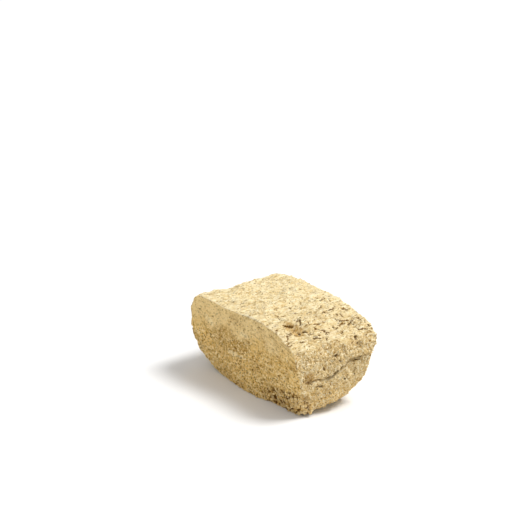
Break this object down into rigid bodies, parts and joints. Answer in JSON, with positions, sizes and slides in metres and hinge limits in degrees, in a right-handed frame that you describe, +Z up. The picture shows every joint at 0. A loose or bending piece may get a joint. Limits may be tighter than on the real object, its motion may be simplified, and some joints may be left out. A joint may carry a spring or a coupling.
{
  "type": "block of sunflower halva",
  "caption": "Hand-cut block of pressed sunflower halva with a flaky top, two leaning knife cuts and a crack along one rounded end; a sweet that lies on its flat base.",
  "frame": {"origin": "on the base, under the middle of the block", "axes": "+X along the block towards its cracked end, +Y across it towards the back knife cut, +Z up"},
  "size_m": [0.0706, 0.042, 0.032],
  "materials": {
    "halva": "dry, crumbly pressed sunflower paste, matt"
  },
  "bodies": {
    "root": {"halva_block": "halva"}
  },
  "joints": []
}
